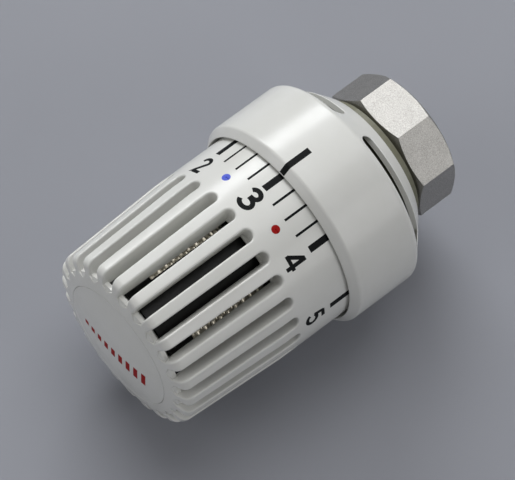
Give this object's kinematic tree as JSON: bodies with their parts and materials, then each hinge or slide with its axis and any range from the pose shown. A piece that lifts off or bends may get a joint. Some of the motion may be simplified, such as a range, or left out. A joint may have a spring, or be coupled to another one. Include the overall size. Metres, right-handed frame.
{
  "type": "thermostatic radiator valve head",
  "caption": "Horizontal thermostatic head with a slotted, numbered knob, a vented collar and an octagonal union nut.",
  "frame": {"origin": "on the head's axis, in the plane of the union nut's rear face, where the valve body enters", "axes": "+Y along the axis out of the nut's mouth, towards the valve; -Y towards the knob's cap; +Z towards the setting mark on the collar"},
  "size_m": [0.0542, 0.0901, 0.0542],
  "materials": {
    "white_abs": "moulded ABS, satin gloss white",
    "white_abs_inner": "moulded ABS, matt white",
    "black_acetal": "moulded acetal, black",
    "nickel_brass": "brass, matt nickel plated",
    "brass": "turned brass",
    "spring_steel": "drawn spring steel",
    "sensor_metal": "deep drawn can, bright",
    "copper": "copper tube, pinched",
    "ptfe": "PTFE, satin",
    "black_print": "pad printed ink, black",
    "blue_print": "pad printed ink, blue",
    "red_print": "pad printed ink, red"
  },
  "bodies": {
    "socket": {"collar": "white_abs", "socket_body": "white_abs_inner", "stop_pin_low": "spring_steel", "stop_pin_high": "spring_steel", "guide_bush": "ptfe", "anti_rotation_ring": "brass", "nut_snap_ring": "spring_steel"},
    "nut": {"union_nut": "nickel_brass"},
    "carriage": {"sensor_carrier": "black_acetal", "sensor_can": "sensor_metal", "sensor_end_plate": "brass", "sensor_bellows": "brass", "filling_stub": "copper", "sensor_retainer": "spring_steel", "slip_washer": "ptfe"},
    "wheel": {"handwheel": "white_abs", "front_cap": "white_abs", "carrier_snap_ring": "spring_steel"},
    "plunger": {"spring_cup": "black_acetal", "cup_snap_ring": "spring_steel", "thrust_pin": "spring_steel", "over_travel_spring": "spring_steel"},
    "rod": {"push_rod": "nickel_brass"}
  },
  "joints": [
    {"name": "knob_turn", "type": "hinge", "parent": "carriage", "child": "wheel", "pos_m": [0, -0.05, 0], "axis": [0, 1, 0], "range_deg": [-82, 123]},
    {"name": "head_travel", "type": "slide", "parent": "socket", "child": "carriage", "axis": [0, 1, 0], "range_m": [-0.00185, 0.00276]},
    {"name": "nut_spin", "type": "hinge", "parent": "socket", "child": "nut", "pos_m": [0, -0.006, 0], "axis": [0, 1, 0], "continuous": true},
    {"name": "sensor_stroke", "type": "slide", "parent": "carriage", "child": "plunger", "axis": [0, 1, 0], "range_m": [-0.001, 0.0025], "stiffness_N_per_m": 1000, "deforming": ["sensor_bellows"]},
    {"name": "over_travel", "type": "slide", "parent": "plunger", "child": "rod", "axis": [0, 1, 0], "range_m": [-0.004, 0], "stiffness_N_per_m": 2000, "springref_m": 0.001, "deforming": ["over_travel_spring"]}
  ],
  "couplings": [
    {"joint": "head_travel", "follows": "knob_turn", "m_per_rad": 0.0012732}
  ]
}
